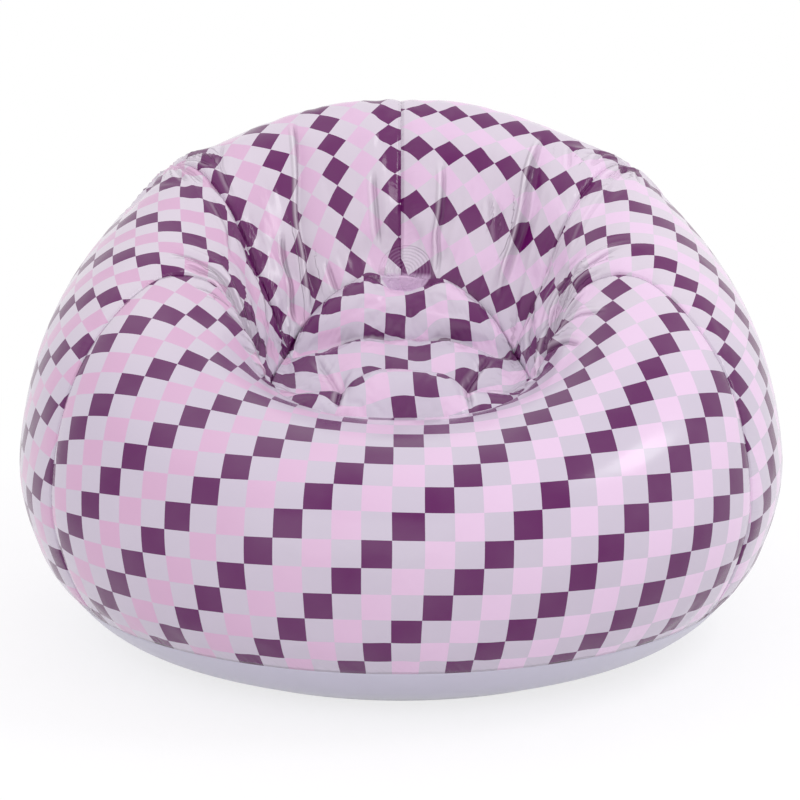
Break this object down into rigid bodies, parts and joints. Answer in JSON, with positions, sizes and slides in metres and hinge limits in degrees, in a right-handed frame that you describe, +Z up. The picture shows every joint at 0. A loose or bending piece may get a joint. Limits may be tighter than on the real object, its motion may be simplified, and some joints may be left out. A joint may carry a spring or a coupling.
{
  "type": "inflatable lounge chair",
  "caption": "Round inflatable lounge chair of printed vinyl with a scooped tufted seat, a raised back and a screw-in air valve low on the rear.",
  "frame": {"origin": "on the floor, under the middle of the chair", "axes": "+Z up, -Y towards the open front of the seat, +X to the right as seen from the front"},
  "size_m": [1.07, 1.04, 0.7096],
  "materials": {
    "printed_vinyl": "semi-gloss vinyl printed with purple, pink and grey checks",
    "plain_vinyl": "semi-gloss unprinted vinyl",
    "tie_vinyl": "translucent vinyl sheet",
    "valve_vinyl": "moulded clear vinyl",
    "valve_rubber": "soft milky vinyl rubber"
  },
  "bodies": {
    "chair": {"front_panel": "printed_vinyl", "left_arm_panel": "printed_vinyl", "right_arm_panel": "printed_vinyl", "left_back_panel": "printed_vinyl", "right_back_panel": "printed_vinyl", "seat_panel": "printed_vinyl", "bottom_panel": "plain_vinyl", "left_seat_tie": "tie_vinyl", "right_seat_tie": "tie_vinyl", "left_seat_patch": "tie_vinyl", "right_seat_patch": "tie_vinyl", "left_base_patch": "tie_vinyl", "right_base_patch": "tie_vinyl", "lumbar_tie": "tie_vinyl", "lumbar_tuft_patch": "tie_vinyl", "rear_patch": "tie_vinyl", "valve_base": "valve_vinyl"},
    "gasket": {"valve_gasket": "valve_rubber"},
    "unit": {"valve_unit": "valve_vinyl"},
    "cap": {"valve_cap": "valve_vinyl"},
    "flap": {"valve_flap": "valve_rubber"}
  },
  "joints": [
    {"name": "gasket_lift", "type": "slide", "parent": "chair", "child": "gasket", "axis": [0.3634, 0.9098, -0.2006], "range_m": [0, 0.008]},
    {"name": "unit_turn", "type": "hinge", "parent": "gasket", "child": "unit", "pos_m": [0.21396, 0.47691, 0.19919], "axis": [0.3634, 0.9098, -0.2006], "range_deg": [0, 720]},
    {"name": "cap_open", "type": "hinge", "parent": "unit", "child": "cap", "pos_m": [0.21856, 0.49406, 0.22224], "axis": [0.9316, -0.3548, 0.0782], "range_deg": [0, 150]},
    {"name": "flap_open", "type": "hinge", "parent": "unit", "child": "flap", "pos_m": [0.21167, 0.47441, 0.2151], "axis": [-0.9316, 0.3548, -0.0782], "range_deg": [0, 35], "stiffness_Nm_per_rad": 0.005, "springref_deg": -11.46}
  ],
  "couplings": [
    {"joint": "gasket_lift", "follows": "unit_turn", "m_per_rad": 0.00063662}
  ]
}
